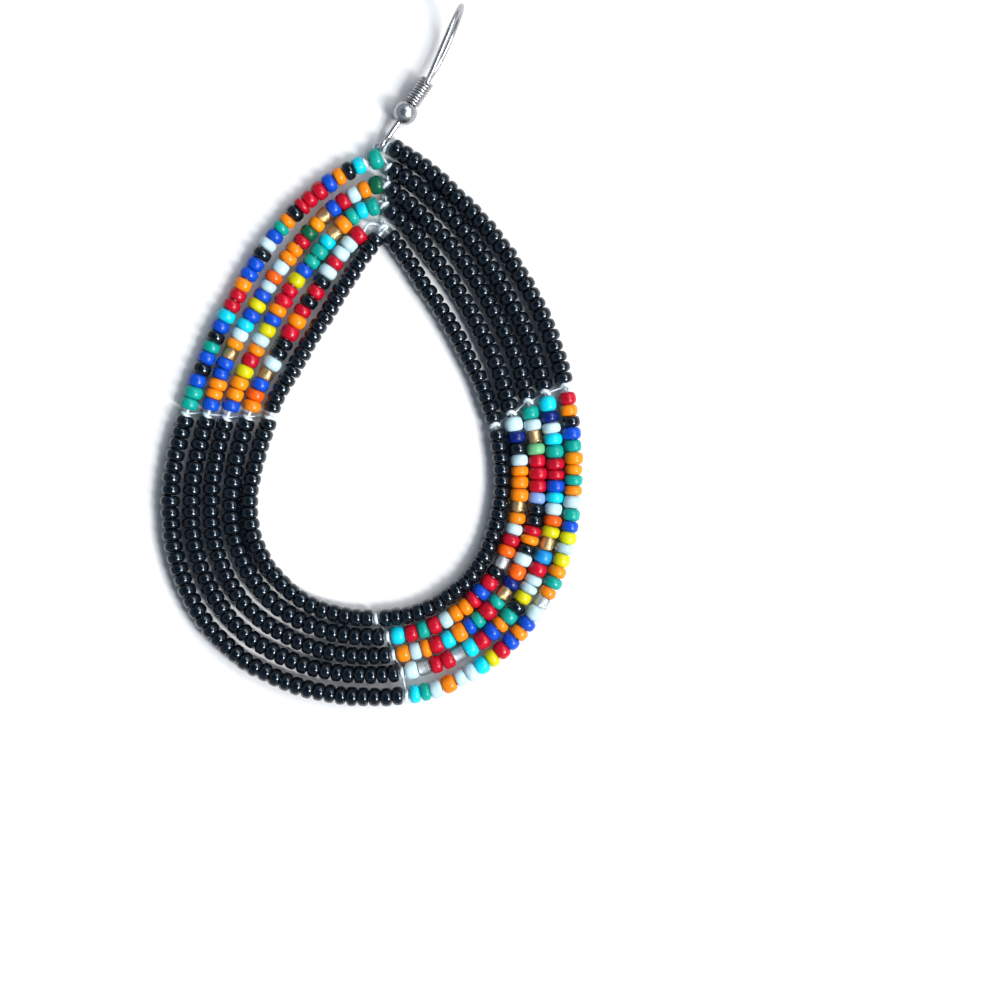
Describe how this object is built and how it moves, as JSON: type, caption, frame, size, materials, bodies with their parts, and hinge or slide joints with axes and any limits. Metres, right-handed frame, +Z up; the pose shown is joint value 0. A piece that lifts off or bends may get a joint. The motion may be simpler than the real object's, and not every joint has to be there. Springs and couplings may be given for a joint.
{
  "type": "beaded hoop earring",
  "caption": "Beaded teardrop hoop earring: nested strings of glass seed beads stitched together at four seams, hung by a thread from a fish-hook ear wire with a ball and a coil.",
  "frame": {"origin": "middle of the earring's plan, on the surface that it lies on", "axes": "+Z up from the surface, +Y from the bottom of the teardrop towards the ear wire, +X across it"},
  "size_m": [0.0548, 0.0896, 0.0114],
  "materials": {
    "seed_beads": "glossy opaque glass, black with a blue tint, and bright colours along two quarters",
    "waxed_thread": "smooth waxed thread, bluish white",
    "bright_wire": "bright silver plate"
  },
  "bodies": {
    "root": {"outer_bead_row": "seed_beads", "second_bead_row": "seed_beads", "middle_bead_row": "seed_beads", "fourth_bead_row": "seed_beads", "inner_bead_row": "seed_beads", "hanging_thread": "waxed_thread", "ear_wire": "bright_wire", "ball_bead": "bright_wire", "wire_coil": "bright_wire"}
  },
  "joints": []
}
